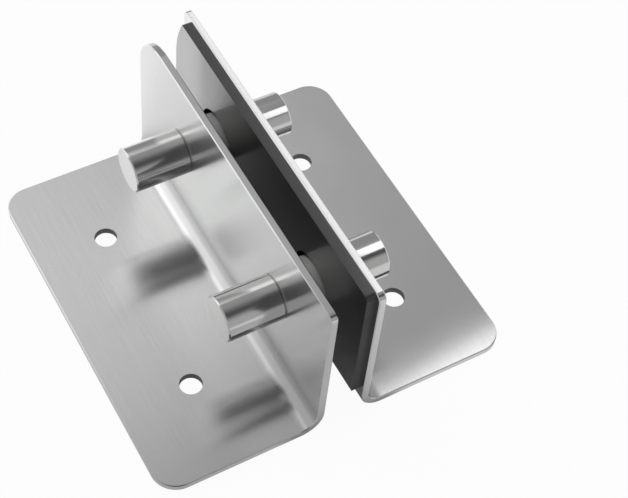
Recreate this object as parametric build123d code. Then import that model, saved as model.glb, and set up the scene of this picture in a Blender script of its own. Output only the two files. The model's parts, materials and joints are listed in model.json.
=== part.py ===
# Floor fixing for a glass fin. Two bent steel angles stand back to back and clamp the glass.
# A rubber pad lines one side of the slot, and two bushed bolts pass through the glass.
# Millimetres. X crosses the slot, Y runs along the bends and Z is up.
# The origin is on the floor, midway across the slot and midway along the plates.
import os
from build123d import *

# Angle plates, each bent from one sheet
plate_length = 150.0
base_width = 66.0
flange_height = 74.0
sheet = 3.0
bend_inner_radius = 6.5
base_corner_radius = 10.0
edge_break = 0.35

# Top corners of the two upright flanges
left_near_corner_radius = 3.0
left_far_corner_radius = 18.0
right_near_corner_radius = 3.0
right_far_corner_radius = 1.5

# Slot between the flanges, which takes the glass and the pad
slot_width = 16.0

# Anchor holes in the base flanges
anchor_hole_diameter = 9.0
anchor_pitch = 76.0
anchor_from_slot_face = 36.5

# Rubber pad on the right flange, whose far edge curves inwards near the top
pad_thickness = 4.0
pad_near_end_inset = 2.0
pad_far_end_inset = 1.5
pad_above_floor = 14.0
pad_near_corner_radius = 2.0
pad_far_curve_height = 20.0
pad_far_curve_inset = 5.0

# Two bolts across the slot, each with a barrel head and a barrel nut
bolt_pitch = 76.0
bolt_height = 40.0
shank_diameter = 8.0
barrel_diameter = 18.0
head_length = 22.0
nut_length = 23.0
barrel_edge_chamfer = 0.5
socket_across_flats = 5.0
socket_depth = 6.0
thread_engagement = 14.0
thread_runout = 3.0
shank_tip_chamfer = 1.0

# Bushes that keep the bolts off the glass
bush_diameter = 20.0
bush_edge_chamfer = 0.4

# Clearances, each on the radius
bolt_hole_clearance = 0.5
bush_bore_clearance = 0.25
pad_hole_clearance = 2.0
thread_clearance = 0.05

# How far a cutting tool runs past what it cuts, and the cosine that tells an edge from a seam
cut_overrun = 2.0
seam_cosine = 0.5

# Places worked out from the sizes
slot_face = slot_width / 2
flange_back = slot_face + sheet
plate_end = plate_length / 2
bolt_places = {"near": -bolt_pitch / 2, "far": bolt_pitch / 2}
anchor_x = slot_face + anchor_from_slot_face


def sharp_edges(body):
    """The edges where two faces meet at an angle, leaving out the smooth seams."""
    faces = body.faces()
    found = ShapeList()
    for edge in body.edges():
        middle = edge.position_at(0.5)
        normals = [face.normal_at(middle) for face in faces if edge in face.edges()]
        if len(normals) == 2 and normals[0].dot(normals[1]) < seam_cosine:
            found.append(edge)
    return found


def cylinder_along_x(radius, start, end, y, z):
    """A round bar from start to end along X."""
    seat = Plane(origin=(start, y, z), z_dir=(1, 0, 0))
    return extrude(seat * Circle(radius), end - start)


def bent_profile():
    """The section of the right-hand plate, an L with its bend at the foot of the slot."""
    outer_edge = slot_face + base_width
    corners = [
        (slot_face, 0),
        (outer_edge, 0),
        (outer_edge, sheet),
        (flange_back, sheet),
        (flange_back, flange_height),
        (slot_face, flange_height),
    ]
    section = make_face(Polyline(*corners, close=True))
    heel = section.vertices().sort_by_distance((slot_face, 0, 0))[0]
    section = fillet(heel, bend_inner_radius + sheet)
    throat = section.vertices().sort_by_distance((flange_back, sheet, 0))[0]
    return fillet(throat, bend_inner_radius)


def angle_plate(near_corner_radius, far_corner_radius):
    """The right-hand plate, with its rounded corners, broken edges and holes."""
    plate = extrude(Plane.XZ * bent_profile(), plate_end, both=True)

    base_corners = plate.edges().filter_by(Axis.Z).group_by(Axis.X)[-1]
    plate = fillet(base_corners, base_corner_radius)

    top_corners = plate.edges().filter_by(Axis.X).group_by(Axis.Z)[-1].sort_by(Axis.Y)
    plate = fillet(top_corners[0], near_corner_radius)
    top_corners = plate.edges().filter_by(Axis.X).group_by(Axis.Z)[-1].sort_by(Axis.Y)
    plate = fillet(top_corners[-1], far_corner_radius)

    plate = chamfer(sharp_edges(plate), edge_break)

    drill_length = sheet + 2 * cut_overrun
    for y in (-anchor_pitch / 2, anchor_pitch / 2):
        plate -= Pos(anchor_x, y, sheet / 2) * Cylinder(anchor_hole_diameter / 2, drill_length)
    bolt_hole_radius = shank_diameter / 2 + bolt_hole_clearance
    start, end = slot_face - cut_overrun, flange_back + cut_overrun
    for y in bolt_places.values():
        plate -= cylinder_along_x(bolt_hole_radius, start, end, y, bolt_height)
    return plate


def pad_outline():
    """The pad seen from the glass, as Y and Z. Its far edge is straight, then curves inwards."""
    near_end = -plate_end + pad_near_end_inset
    far_end = plate_end - pad_far_end_inset
    curve_start = (far_end, flange_height - pad_far_curve_height)
    top_far_corner = (far_end - pad_far_curve_inset, flange_height)
    far_curve = TangentArc(curve_start, top_far_corner, tangent=(0, 1))
    straight_edges = Polyline(
        top_far_corner,
        (near_end, flange_height),
        (near_end, pad_above_floor),
        (far_end, pad_above_floor),
        curve_start,
    )
    outline = make_face(far_curve + straight_edges)
    near_top_corner = outline.vertices().sort_by_distance((near_end, flange_height, 0))[0]
    return fillet(near_top_corner, pad_near_corner_radius)


def glazing_pad():
    """The flat rubber pad on the right flange, with a clear hole round each bush."""
    back_of_pad = Plane.YZ.offset(slot_face)
    pad = extrude(back_of_pad * pad_outline(), -pad_thickness)

    hole_radius = bush_diameter / 2 + pad_hole_clearance
    start, end = slot_face - pad_thickness - cut_overrun, slot_face + cut_overrun
    for y in bolt_places.values():
        pad -= cylinder_along_x(hole_radius, start, end, y, bolt_height)
    return pad


def barrel_bolt(y):
    """A bolt from the right: a barrel head with a hexagon socket, and a plain shank."""
    head_end = flange_back + head_length
    head = cylinder_along_x(barrel_diameter / 2, flange_back, head_end, y, bolt_height)
    head = chamfer(head.edges().filter_by(GeomType.CIRCLE), barrel_edge_chamfer)

    socket_mouth = Plane(origin=(head_end, y, bolt_height), z_dir=(-1, 0, 0))
    hexagon = RegularPolygon(socket_across_flats / 2, 6, major_radius=False)
    head -= extrude(socket_mouth * hexagon, socket_depth)

    shank_tip = -flange_back - thread_engagement
    shank = cylinder_along_x(shank_diameter / 2, shank_tip, flange_back, y, bolt_height)
    tip_edge = shank.edges().filter_by(GeomType.CIRCLE).sort_by(Axis.X)[0]
    shank = chamfer(tip_edge, shank_tip_chamfer)
    return head + shank


def barrel_nut(y):
    """A blind nut on the left: a plain barrel, bored from its seat for the shank."""
    nut_end = -flange_back - nut_length
    nut = cylinder_along_x(barrel_diameter / 2, nut_end, -flange_back, y, bolt_height)
    nut = chamfer(nut.edges().filter_by(GeomType.CIRCLE), barrel_edge_chamfer)
    bore_end = -flange_back - thread_engagement - thread_runout
    bore_radius = shank_diameter / 2 + thread_clearance
    return nut - cylinder_along_x(bore_radius, bore_end, -flange_back, y, bolt_height)


def bush(y):
    """A sleeve on the shank, from flange to flange, that sits in the hole in the glass."""
    sleeve = cylinder_along_x(bush_diameter / 2, -slot_face, slot_face, y, bolt_height)
    sleeve = chamfer(sleeve.edges().filter_by(GeomType.CIRCLE), bush_edge_chamfer)
    bore_radius = shank_diameter / 2 + bush_bore_clearance
    return sleeve - cylinder_along_x(bore_radius, -slot_face, slot_face, y, bolt_height)


def build():
    """Every piece by name."""
    left_plate = angle_plate(left_near_corner_radius, left_far_corner_radius)
    nodes = {
        "left_angle_plate": mirror(left_plate, about=Plane.YZ),
        "right_angle_plate": angle_plate(right_near_corner_radius, right_far_corner_radius),
        "glazing_pad": glazing_pad(),
    }
    for place, y in bolt_places.items():
        nodes[f"{place}_barrel_bolt"] = barrel_bolt(y)
        nodes[f"{place}_barrel_nut"] = barrel_nut(y)
        nodes[f"{place}_bush"] = bush(y)
    return nodes


os.makedirs("parts", exist_ok=True)
for name, piece in build().items():
    export_step(piece, f"parts/{name}.step")
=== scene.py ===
import json
import math

import bpy
from mathutils import Matrix, Vector


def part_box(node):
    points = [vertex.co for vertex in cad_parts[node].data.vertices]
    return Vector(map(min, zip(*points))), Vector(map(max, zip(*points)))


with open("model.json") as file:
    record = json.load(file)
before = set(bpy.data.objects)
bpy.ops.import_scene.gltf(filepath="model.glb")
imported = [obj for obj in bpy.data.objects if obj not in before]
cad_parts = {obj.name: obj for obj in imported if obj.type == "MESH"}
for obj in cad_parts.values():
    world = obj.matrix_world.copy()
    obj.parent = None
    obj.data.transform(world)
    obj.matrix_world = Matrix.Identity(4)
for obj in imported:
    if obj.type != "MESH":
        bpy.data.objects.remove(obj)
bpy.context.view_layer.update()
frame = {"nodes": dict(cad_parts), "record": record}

# Lengths are in metres, in the part's own frame, apart from the lens and the sensor's width
MM = 0.001

# Camera, at the photograph's viewing angle
CAMERA_TARGET = Vector((0.0258, -0.0063, 0.0075))
CAMERA_DISTANCE = 0.630
CAMERA_HEADING = math.radians(34.76)
CAMERA_PITCH = math.radians(53.81)
CAMERA_ROLL = math.radians(7.02)
CAMERA_LENS = 90.7
SENSOR_WIDTH = 36.0
CAMERA_CLIP_START = 0.01

# The range that nearly all of a noise lies in
NOISE_LOW = 0.3
NOISE_HIGH = 0.7

# Edge wear starts and is full at these cosines between a face's normal and the rounded one
WEAR_START = 0.98
WEAR_FULL = 0.80
WEAR_SAMPLES = 6

# Brushed sheet, with its grain along the bends. A tone is a share of the colour.
# A noise's scale is in bumps to the metre, and a wear's share is how much of it shows.
SHEET_COLOUR = (0.70, 0.705, 0.70)
SHEET_ROUGHNESS = 0.21
SHEET_ANISOTROPY = 0.88
SHEET_GRAIN_SCALES = (2400, 45, 2400)
SHEET_GRAIN = {"scale": 1.0, "detail": 3.0, "roughness": 0.6}
SHEET_GRAIN_BUMP = 0.0006 * MM
SHEET_GRAIN_ROUGHENING = (-0.012, 0.016)
SHEET_STREAK_SHARE = 0.5
SHEET_STREAK_TONE = 0.90
SHEET_CLOUD = {"scale": 40.0, "detail": 3.0, "roughness": 0.55}
SHEET_CLOUD_TONES = (0.97, 1.03)
SHEET_CLOUD_ROUGHENING = (-0.012, 0.012)
SHEET_WEAR = {"width": 0.7 * MM, "share": 0.5, "tone": 1.25}

# The grain's direction slants a little, so that its cross direction exists on the end faces too
GRAIN_DIRECTION = (0.02, 1.0, 0.03)

# Walls of the anchor holes, darkened with painted shade, and the cut edges along the tops of the
# flanges
HOLE_WALL_PAINTED_SHADE = (0.20, 0.20, 0.20)
HOLE_WALL_ROUGHNESS = 0.55
HOLE_WALL_BAND = 0.03 * MM
CUT_EDGE_DEPTH = 1.0 * MM
CUT_EDGE_ROUGHNESS = 0.06

# Turned steel
TURNED_COLOUR = (0.68, 0.68, 0.675)
TURNED_ROUGHNESS = 0.14
TURNED_ROUGHENING = (-0.02, 0.03)
TURNED_RINGS = {"scale": 3500.0, "detail": 3.0, "roughness": 0.6}
TURNED_RING_BUMP = 0.0006 * MM
TURNED_RING_SHARE = 0.4
TURNED_RING_TONE = 0.88
TURNED_CLOUD = {"scale": 120.0, "detail": 2.0, "roughness": 0.5}
TURNED_CLOUD_TONES = (0.96, 1.04)
TURNED_WEAR = {"width": 0.5 * MM, "share": 0.5, "tone": 1.25}

# Rubber. The gloss of its skin starts and is full where a face's normal leans this far to X or Z
PAD_COLOUR = (0.014, 0.014, 0.014)
PAD_ROUGHNESS = 0.45
PAD_ROUGHENING = (-0.04, 0.06)
PAD_SKIN_IOR = 4.0
PAD_SKIN_ROUGHNESS = 0.17
PAD_SKIN_START = 0.4
PAD_SKIN_FULL = 0.8
PAD_TOP_SKIN = 0.18
PAD_DIMPLES = {"scale": 900.0, "detail": 3.0, "roughness": 0.55}
PAD_DIMPLE_BUMP = 0.002 * MM
PAD_CLOUD = {"scale": 60.0, "detail": 3.0, "roughness": 0.5}
PAD_CLOUD_TONES = (0.8, 1.3)
PAD_WEAR = {"width": 0.5 * MM, "share": 0.3, "tone": 3.0}

# Plastic of the bushes
BUSH_COLOUR = (0.62, 0.62, 0.61)
BUSH_ROUGHNESS = 0.40
BUSH_ROUGHENING = (-0.05, 0.08)
BUSH_SPECKLE = {"scale": 1800.0, "detail": 3.0, "roughness": 0.6}
BUSH_SPECKLE_BUMP = 0.01 * MM
BUSH_SPECKLE_SHARE = 0.3
BUSH_SPECKLE_TONE = 0.8
BUSH_CLOUD = {"scale": 200.0, "detail": 2.0, "roughness": 0.5}
BUSH_CLOUD_TONES = (0.92, 1.08)

# Floor, and how much of it is a glow, to the camera and in reflections
FLOOR_SIZE = 6.0
FLOOR_DROP = 0.05 * MM
FLOOR_COLOUR = 0.85
FLOOR_ROUGHNESS = 0.9
FLOOR_CAMERA_GLOW = 0.95
FLOOR_REFLECTED_GLOW = 0.70

# In reflections the floor's glow is painted light and shade, rising from a dim tone at the near
# left. Under the slot the floor is dark.
# A step has the flat direction it rises along, its start and end there, and its tone.
FLOOR_NEAR_PAINTED_SHADE = 0.50
FLOOR_PAINTED_LIGHT_STEPS = [
    ((0.50, 0.85), -110 * MM, 80 * MM, 1.19),
    ((0.82, 0.57), 33 * MM, 40 * MM, 1.50),
    ((1.00, 0.00), 15 * MM, 45 * MM, 0.95),
]
SLOT_SHADE_TONE = 0.03
SLOT_SHADE_MARGIN = 10 * MM
SLOT_SHADE_SOFTNESS = 12 * MM

# The camera sees a white backdrop. Reflections see a studio of brighter and darker steps there.
# The part's grain runs along Y, so a direction is its turn round Y and its angle from +Y.
# The turn is counted from up towards +X. A step has the range of each in degrees, how softly
# that range ends, and its strength, and it covers the steps before it.
BACKDROP = 1.0
STUDIO_STEPS = [
    ("left_wall", (-200, 19.5), 3, (50, 200), 5, 0.80),
    ("right_wall", (19.5, 200), 3, (-20, 200), 5, 0.34),
    ("far_wall", (-200, 19.5), 3, (-20, 50), 5, 0.82),
    ("left_far_glow", (14, 19.5), 2, (54.5, 58.5), 1, 1.00),
    ("left_top_glow", (20.5, 23), 0.5, (-20, 64), 4, 0.50),
    ("left_low_window", (-120, -41), 5, (35, 62), 7, 1.25),
    ("left_window", (-41, -13), 4, (43, 62), 7, 1.80),
    ("front", (-200, 200), 3, (64, 200), 4, 0.36),
    ("left_low_front", (-120, -41), 5, (62, 98), 3, 0.48),
    ("left_front_window", (-30, -15), 4, (62, 98), 3, 0.80),
    ("left_front_wall", (-200, -62), 5, (98, 200), 20, 0.55),
    ("dark_front", (-62, 200), 5, (98, 200), 20, 0.09),
    ("right_front_panel", (22, 110), 8, (128, 200), 10, 0.50),
]

# Lamps: the place, the size across and along, how bright each looks, and its turn in degrees.
# The softbox is mirrored in the right base's near end, the strip lamp in the right flange's top.
# The fill lamp isn't mirrored, so it lights only what is matt.
SOFTBOX = {"place": (0.1375, -0.029, 0.200), "size": (0.125, 0.102), "radiance": 1.45, "turn": 6}
STRIP_LAMP = {"place": (0.066, 0.084, 0.200), "size": (0.0045, 0.212), "radiance": 1.25}
FILL_LAMP = {"place": (-0.20, 0.10, 1.30), "size": (1.2, 1.2), "radiance": 0.9, "glossy": False}

# Where a Mix node has its two colours and their result, past its sockets for other kinds
MIX_FIRST_COLOUR = 6
MIX_SECOND_COLOUR = 7
MIX_COLOUR_RESULT = 2


def new_material(name):
    """A material with nodes, its shader, and the texture coordinates in metres."""
    material = bpy.data.materials.new(name)
    material.use_nodes = True
    tree = material.node_tree
    shader = tree.nodes["Principled BSDF"]
    place = tree.nodes.new("ShaderNodeTexCoord").outputs["Object"]
    return material, tree, shader, place


def link(tree, source, target):
    """Joins a node's output to another's input."""
    tree.links.new(source, target)


def math_node(tree, operation, *values):
    """A math node whose inputs are numbers or other nodes' outputs."""
    node = tree.nodes.new("ShaderNodeMath")
    node.operation = operation
    for socket, value in zip(node.inputs, values):
        if isinstance(value, (int, float)):
            socket.default_value = value
        else:
            link(tree, value, socket)
    return node.outputs["Value"]


def map_range(tree, value, low, high, out_low, out_high, smooth=False):
    """Maps a value from one range to another."""
    node = tree.nodes.new("ShaderNodeMapRange")
    node.interpolation_type = "SMOOTHSTEP" if smooth else "LINEAR"
    link(tree, value, node.inputs["Value"])
    for name, number in (
        ("From Min", low),
        ("From Max", high),
        ("To Min", out_low),
        ("To Max", out_high),
    ):
        node.inputs[name].default_value = number
    return node.outputs["Result"]


def spread(tree, value, low, high):
    """Maps a noise to a range."""
    return map_range(tree, value, NOISE_LOW, NOISE_HIGH, low, high)


def noise(tree, vector, scale, detail, roughness):
    """Noise of about one bump in each unit of the vector times scale."""
    node = tree.nodes.new("ShaderNodeTexNoise")
    node.inputs["Scale"].default_value = scale
    node.inputs["Detail"].default_value = detail
    node.inputs["Roughness"].default_value = roughness
    link(tree, vector, node.inputs["Vector"])
    return node.outputs["Fac"]


def stretched(tree, vector, scale):
    """The vector with each axis scaled by itself."""
    node = tree.nodes.new("ShaderNodeMapping")
    node.inputs["Scale"].default_value = scale
    link(tree, vector, node.inputs["Vector"])
    return node.outputs["Vector"]


def split_axes(tree, vector):
    """The three numbers of a vector."""
    node = tree.nodes.new("ShaderNodeSeparateXYZ")
    link(tree, vector, node.inputs["Vector"])
    return [node.outputs[axis] for axis in "XYZ"]


def mix_colour(tree, factor, first, second):
    """A colour between two others."""
    node = tree.nodes.new("ShaderNodeMix")
    node.data_type = "RGBA"
    link(tree, factor, node.inputs["Factor"])
    for index, colour in ((MIX_FIRST_COLOUR, first), (MIX_SECOND_COLOUR, second)):
        socket = node.inputs[index]
        if isinstance(colour, tuple):
            socket.default_value = (*colour, 1.0)
        else:
            link(tree, colour, socket)
    return node.outputs[MIX_COLOUR_RESULT]


def mix_number(tree, factor, first, second):
    """A number between two others."""
    node = tree.nodes.new("ShaderNodeMix")
    link(tree, factor, node.inputs["Factor"])
    for socket, number in ((node.inputs["A"], first), (node.inputs["B"], second)):
        if isinstance(number, (int, float)):
            socket.default_value = number
        else:
            link(tree, number, socket)
    return node.outputs["Result"]


def length_of(tree, first, second):
    """The length of a flat vector with these two sides."""
    squares = [math_node(tree, "POWER", side, 2.0) for side in (first, second)]
    return math_node(tree, "SQRT", math_node(tree, "ADD", *squares))


def edge_mask(tree, width):
    """One on edges and corners, zero on flat faces."""
    bevel = tree.nodes.new("ShaderNodeBevel")
    bevel.samples = WEAR_SAMPLES
    bevel.inputs["Radius"].default_value = width
    geometry = tree.nodes.new("ShaderNodeNewGeometry")
    dot = tree.nodes.new("ShaderNodeVectorMath")
    dot.operation = "DOT_PRODUCT"
    link(tree, bevel.outputs["Normal"], dot.inputs[0])
    link(tree, geometry.outputs["True Normal"], dot.inputs[1])
    return map_range(tree, dot.outputs["Value"], WEAR_START, WEAR_FULL, 0.0, 1.0, smooth=True)


def bump(tree, height, distance):
    """A normal for a height of that many metres."""
    node = tree.nodes.new("ShaderNodeBump")
    node.inputs["Strength"].default_value = 1.0
    node.inputs["Distance"].default_value = distance
    link(tree, height, node.inputs["Height"])
    return node.outputs["Normal"]


def scaled(colour, tone):
    """The colour in another tone, no brighter than white."""
    return tuple(min(1.0, part * tone) for part in colour)


def clouded(tree, cloud, colour, tones):
    """The colour, drifting between two tones."""
    darker, lighter = (scaled(colour, tone) for tone in tones)
    return mix_colour(tree, cloud, darker, lighter)


def with_wear(tree, body, colour, width, share, tone):
    """The body's colour, with part of its edges in another tone of that colour."""
    worn = math_node(tree, "MULTIPLY", edge_mask(tree, width), share)
    return mix_colour(tree, worn, body, scaled(colour, tone))


def roughened(tree, value, roughness, changes):
    """A roughness that a noise changes by between these two amounts."""
    low, high = (roughness + change for change in changes)
    return spread(tree, value, low, high)


def hole_wall_shade_mask(tree, place):
    """One on the walls of the anchor holes, where shade is painted, zero on the rest of the
    sheet.
    """
    mounts = {mount["name"]: mount for mount in frame["record"]["mounts"]}
    dims = mounts["anchor_holes"]["dims"]
    across, along, _ = split_axes(tree, place)
    offsets = [
        math_node(tree, "SUBTRACT", math_node(tree, "ABSOLUTE", side), spacing / 2 * MM)
        for side, spacing in ((across, dims["spacing_x_mm"]), (along, dims["spacing_y_mm"]))
    ]
    wall = dims["hole_r_mm"] * MM
    radius = length_of(tree, *offsets)
    return map_range(tree, radius, wall + HOLE_WALL_BAND, wall + 2 * HOLE_WALL_BAND, 1.0, 0.0)


def top_edge_mask(tree, place):
    """One on the cut edges along the tops of the flanges."""
    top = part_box("left_angle_plate")[1].z
    height = split_axes(tree, place)[2]
    return map_range(tree, height, top - CUT_EDGE_DEPTH, top - CUT_EDGE_DEPTH / 2, 0.0, 1.0)


def sheet_steel():
    """Brushed steel sheet, with its grain along the bends."""
    material, tree, shader, place = new_material("brushed_sheet_steel")
    grain = noise(tree, stretched(tree, place, SHEET_GRAIN_SCALES), **SHEET_GRAIN)
    cloud = noise(tree, place, **SHEET_CLOUD)
    hole_wall_shade = hole_wall_shade_mask(tree, place)

    body = clouded(tree, cloud, SHEET_COLOUR, SHEET_CLOUD_TONES)
    streak = spread(tree, grain, 0.0, SHEET_STREAK_SHARE)
    streaked = mix_colour(tree, streak, body, scaled(SHEET_COLOUR, SHEET_STREAK_TONE))
    polished = with_wear(tree, streaked, SHEET_COLOUR, **SHEET_WEAR)
    # The walls of the anchor holes get painted shade, a dark grey in place of the sheet's
    # colour.
    finished = mix_colour(tree, hole_wall_shade, polished, HOLE_WALL_PAINTED_SHADE)
    link(tree, finished, shader.inputs["Base Color"])

    by_grain = spread(tree, grain, *SHEET_GRAIN_ROUGHENING)
    by_cloud = spread(tree, cloud, *SHEET_CLOUD_ROUGHENING)
    rough = math_node(tree, "ADD", math_node(tree, "ADD", by_grain, by_cloud), SHEET_ROUGHNESS)
    rough = mix_number(tree, top_edge_mask(tree, place), rough, CUT_EDGE_ROUGHNESS)
    rough = mix_number(tree, hole_wall_shade, rough, HOLE_WALL_ROUGHNESS)
    link(tree, rough, shader.inputs["Roughness"])
    link(tree, bump(tree, grain, SHEET_GRAIN_BUMP), shader.inputs["Normal"])

    geometry = tree.nodes.new("ShaderNodeNewGeometry")
    cross_grain = tree.nodes.new("ShaderNodeVectorMath")
    cross_grain.operation = "CROSS_PRODUCT"
    link(tree, geometry.outputs["Normal"], cross_grain.inputs[0])
    cross_grain.inputs[1].default_value = GRAIN_DIRECTION
    link(tree, cross_grain.outputs["Vector"], shader.inputs["Tangent"])
    shader.inputs["Anisotropic"].default_value = SHEET_ANISOTROPY
    shader.inputs["Metallic"].default_value = 1.0
    return material


def turned_steel():
    """Turned steel, with fine tool marks round each barrel's axis."""
    material, tree, shader, place = new_material("turned_barrel_steel")
    barrel_low, barrel_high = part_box("near_barrel_nut")
    axis_y = abs(barrel_low.y + barrel_high.y) / 2
    axis_z = (barrel_low.z + barrel_high.z) / 2

    along, side, height = split_axes(tree, place)
    across = math_node(tree, "SUBTRACT", math_node(tree, "ABSOLUTE", side), axis_y)
    up = math_node(tree, "SUBTRACT", height, axis_z)
    join = tree.nodes.new("ShaderNodeCombineXYZ")
    link(tree, along, join.inputs["X"])
    link(tree, length_of(tree, across, up), join.inputs["Y"])
    rings = noise(tree, join.outputs["Vector"], **TURNED_RINGS)
    cloud = noise(tree, place, **TURNED_CLOUD)

    body = clouded(tree, cloud, TURNED_COLOUR, TURNED_CLOUD_TONES)
    mark = spread(tree, rings, 0.0, TURNED_RING_SHARE)
    marked = mix_colour(tree, mark, body, scaled(TURNED_COLOUR, TURNED_RING_TONE))
    finished = with_wear(tree, marked, TURNED_COLOUR, **TURNED_WEAR)
    link(tree, finished, shader.inputs["Base Color"])

    rough = roughened(tree, rings, TURNED_ROUGHNESS, TURNED_ROUGHENING)
    link(tree, rough, shader.inputs["Roughness"])
    link(tree, bump(tree, rings, TURNED_RING_BUMP), shader.inputs["Normal"])
    shader.inputs["Metallic"].default_value = 1.0
    return material


def pad_rubber():
    """Black rubber, glossy on its two large faces, less so on top, and matt on its end faces."""
    material, tree, shader, place = new_material("black_pad_rubber")
    dimples = noise(tree, place, **PAD_DIMPLES)
    cloud = noise(tree, place, **PAD_CLOUD)

    body = clouded(tree, cloud, PAD_COLOUR, PAD_CLOUD_TONES)
    finished = with_wear(tree, body, PAD_COLOUR, **PAD_WEAR)
    link(tree, finished, shader.inputs["Base Color"])
    rough = roughened(tree, cloud, PAD_ROUGHNESS, PAD_ROUGHENING)
    link(tree, rough, shader.inputs["Roughness"])
    link(tree, bump(tree, dimples, PAD_DIMPLE_BUMP), shader.inputs["Normal"])

    geometry = tree.nodes.new("ShaderNodeNewGeometry")
    across, _, up = (
        math_node(tree, "ABSOLUTE", part)
        for part in split_axes(tree, geometry.outputs["True Normal"])
    )
    face_skin = map_range(tree, across, PAD_SKIN_START, PAD_SKIN_FULL, 0.0, 1.0)
    top_skin = map_range(tree, up, PAD_SKIN_START, PAD_SKIN_FULL, 0.0, PAD_TOP_SKIN)
    link(tree, math_node(tree, "MAXIMUM", face_skin, top_skin), shader.inputs["Coat Weight"])
    shader.inputs["Coat IOR"].default_value = PAD_SKIN_IOR
    shader.inputs["Coat Roughness"].default_value = PAD_SKIN_ROUGHNESS
    return material


def bush_plastic():
    """Pale grey moulded plastic."""
    material, tree, shader, place = new_material("pale_bush_plastic")
    speckle = noise(tree, place, **BUSH_SPECKLE)
    cloud = noise(tree, place, **BUSH_CLOUD)

    body = clouded(tree, cloud, BUSH_COLOUR, BUSH_CLOUD_TONES)
    speck = math_node(tree, "MULTIPLY", speckle, BUSH_SPECKLE_SHARE)
    finished = mix_colour(tree, speck, body, scaled(BUSH_COLOUR, BUSH_SPECKLE_TONE))
    link(tree, finished, shader.inputs["Base Color"])
    rough = roughened(tree, speckle, BUSH_ROUGHNESS, BUSH_ROUGHENING)
    link(tree, rough, shader.inputs["Roughness"])
    link(tree, bump(tree, speckle, BUSH_SPECKLE_BUMP), shader.inputs["Normal"])
    return material


def dress_nodes():
    """Gives each node of the part the material of its slot."""
    by_slot = {
        "satin_steel": sheet_steel(),
        "turned_steel": turned_steel(),
        "pad_rubber": pad_rubber(),
        "bush_plastic": bush_plastic(),
    }
    for entry in frame["record"]["subparts"]:
        node = frame["nodes"][entry["node"]]
        for slot in node.material_slots:
            slot.material = by_slot[entry["material_slot"]]


def outside_slot(tree, x, y):
    """One on the floor away from the slot and the bends, and dark under them."""
    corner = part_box("left_angle_plate")[1]
    sides = []
    for side, reach in ((x, abs(corner.x) + SLOT_SHADE_MARGIN), (y, corner.y)):
        away = math_node(tree, "ABSOLUTE", side)
        end = reach + SLOT_SHADE_SOFTNESS
        sides.append(map_range(tree, away, reach, end, SLOT_SHADE_TONE, 1.0, smooth=True))
    return math_node(tree, "MAXIMUM", *sides)


def floor():
    """A plain pale floor, white to the camera, dimmer in reflections where its glow is painted
    light and shade, that takes the shadow.
    """
    bpy.ops.mesh.primitive_plane_add(size=FLOOR_SIZE, location=(0, 0, -FLOOR_DROP))
    plane = bpy.context.object
    plane.name = "studio_floor"

    material, tree, shader, place = new_material("pale_floor")
    shader.inputs["Base Color"].default_value = (FLOOR_COLOUR,) * 3 + (1.0,)
    shader.inputs["Roughness"].default_value = FLOOR_ROUGHNESS
    shader.inputs["Specular IOR Level"].default_value = 0.0

    path = tree.nodes.new("ShaderNodeLightPath")
    mirrored = math_node(
        tree, "MAXIMUM", path.outputs["Is Glossy Ray"], path.outputs["Is Transmission Ray"]
    )
    x, y, _ = split_axes(tree, place)
    # The glow seen in reflections is painted light and shade, set by the place on the floor.
    painted_reflected_light = FLOOR_NEAR_PAINTED_SHADE
    for direction, start, end, step_light in FLOOR_PAINTED_LIGHT_STEPS:
        parts = [math_node(tree, "MULTIPLY", *pair) for pair in zip((x, y), direction)]
        along = math_node(tree, "ADD", *parts)
        rise = map_range(tree, along, start, end, 0.0, 1.0)
        painted_reflected_light = mix_number(tree, rise, painted_reflected_light, step_light)
    reflected_share = math_node(tree, "MULTIPLY", outside_slot(tree, x, y), FLOOR_REFLECTED_GLOW)
    glow_share = math_node(
        tree,
        "MAXIMUM",
        math_node(tree, "MULTIPLY", path.outputs["Is Camera Ray"], FLOOR_CAMERA_GLOW),
        math_node(tree, "MULTIPLY", mirrored, reflected_share),
    )
    glow = tree.nodes.new("ShaderNodeEmission")
    tone = mix_number(tree, path.outputs["Is Camera Ray"], painted_reflected_light, BACKDROP)
    link(tree, tone, glow.inputs["Strength"])
    blend = tree.nodes.new("ShaderNodeMixShader")
    link(tree, glow_share, blend.inputs["Fac"])
    link(tree, shader.outputs["BSDF"], blend.inputs[1])
    link(tree, glow.outputs["Emission"], blend.inputs[2])
    link(tree, blend.outputs["Shader"], tree.nodes["Material Output"].inputs["Surface"])
    plane.data.materials.append(material)


def soft_window(tree, angle, limits, softness):
    """One between two angles in degrees, with soft ends."""
    low, high = (math.radians(limit) for limit in limits)
    soft = math.radians(softness)
    rise = map_range(tree, angle, low - soft, low + soft, 0.0, 1.0, smooth=True)
    fall = map_range(tree, angle, high - soft, high + soft, 1.0, 0.0, smooth=True)
    return math_node(tree, "MULTIPLY", rise, fall)


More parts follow.
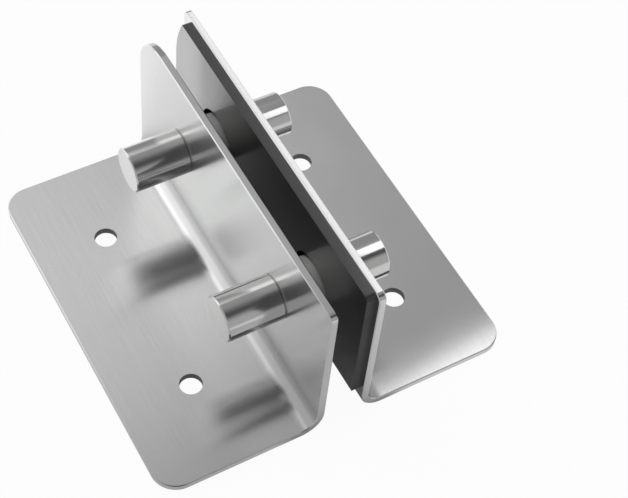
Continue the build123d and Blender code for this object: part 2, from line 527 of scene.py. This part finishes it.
def studio_world():
    """A backdrop that is white to the camera, and to the part a studio of soft steps."""
    world = bpy.data.worlds.new("studio")
    bpy.context.scene.world = world
    world.use_nodes = True
    tree = world.node_tree
    background = tree.nodes["Background"]
    direction = tree.nodes.new("ShaderNodeTexCoord").outputs["Generated"]
    x, y, z = split_axes(tree, direction)
    turn_round_y = math_node(tree, "ARCTAN2", x, z)
    angle_from_y = math_node(tree, "ARCCOSINE", y)

    seen = BACKDROP
    for name, turns, turn_softness, angles, angle_softness, strength in STUDIO_STEPS:
        mask = math_node(
            tree,
            "MULTIPLY",
            soft_window(tree, turn_round_y, turns, turn_softness),
            soft_window(tree, angle_from_y, angles, angle_softness),
        )
        seen = mix_number(tree, mask, seen, strength)
        seen.node.label = name

    path = tree.nodes.new("ShaderNodeLightPath")
    strength = mix_number(tree, path.outputs["Is Camera Ray"], seen, BACKDROP)
    link(tree, strength, background.inputs["Strength"])
    background.inputs["Color"].default_value = (1.0, 1.0, 1.0, 1.0)


def area_lamp(name, place, size, radiance, turn=0.0, glossy=True):
    """A flat lamp that faces down and looks as bright as its radiance."""
    data = bpy.data.lights.new(name, "AREA")
    data.shape = "RECTANGLE"
    data.size, data.size_y = size
    data.energy = radiance * math.pi * size[0] * size[1]
    lamp = bpy.data.objects.new(name, data)
    lamp.location = place
    lamp.rotation_euler.z = math.radians(turn)
    lamp.visible_glossy = glossy
    lamp.visible_camera = False
    bpy.context.scene.collection.objects.link(lamp)


def camera():
    """The camera, at the photograph's angle and distance."""
    data = bpy.data.cameras.new("photo_camera")
    data.lens = CAMERA_LENS
    data.sensor_width = SENSOR_WIDTH
    data.sensor_fit = "HORIZONTAL"
    data.clip_start = CAMERA_CLIP_START
    item = bpy.data.objects.new("photo_camera", data)

    level = math.cos(CAMERA_PITCH)
    forward = Vector(
        (
            level * math.sin(CAMERA_HEADING),
            level * math.cos(CAMERA_HEADING),
            -math.sin(CAMERA_PITCH),
        )
    )
    flat_right = Vector((math.cos(CAMERA_HEADING), -math.sin(CAMERA_HEADING), 0))
    flat_up = flat_right.cross(forward)
    right = flat_right * math.cos(CAMERA_ROLL) + flat_up * math.sin(CAMERA_ROLL)
    up = right.cross(forward)
    turn = Matrix((right, up, -forward)).transposed()
    item.matrix_world = Matrix.Translation(
        CAMERA_TARGET - forward * CAMERA_DISTANCE
    ) @ turn.to_4x4()
    bpy.context.scene.collection.objects.link(item)
    bpy.context.scene.camera = item


dress_nodes()
floor()
studio_world()
area_lamp("softbox", **SOFTBOX)
area_lamp("strip_lamp", **STRIP_LAMP)
area_lamp("fill_lamp", **FILL_LAMP)
camera()
bpy.context.scene.view_settings.view_transform = "Standard"
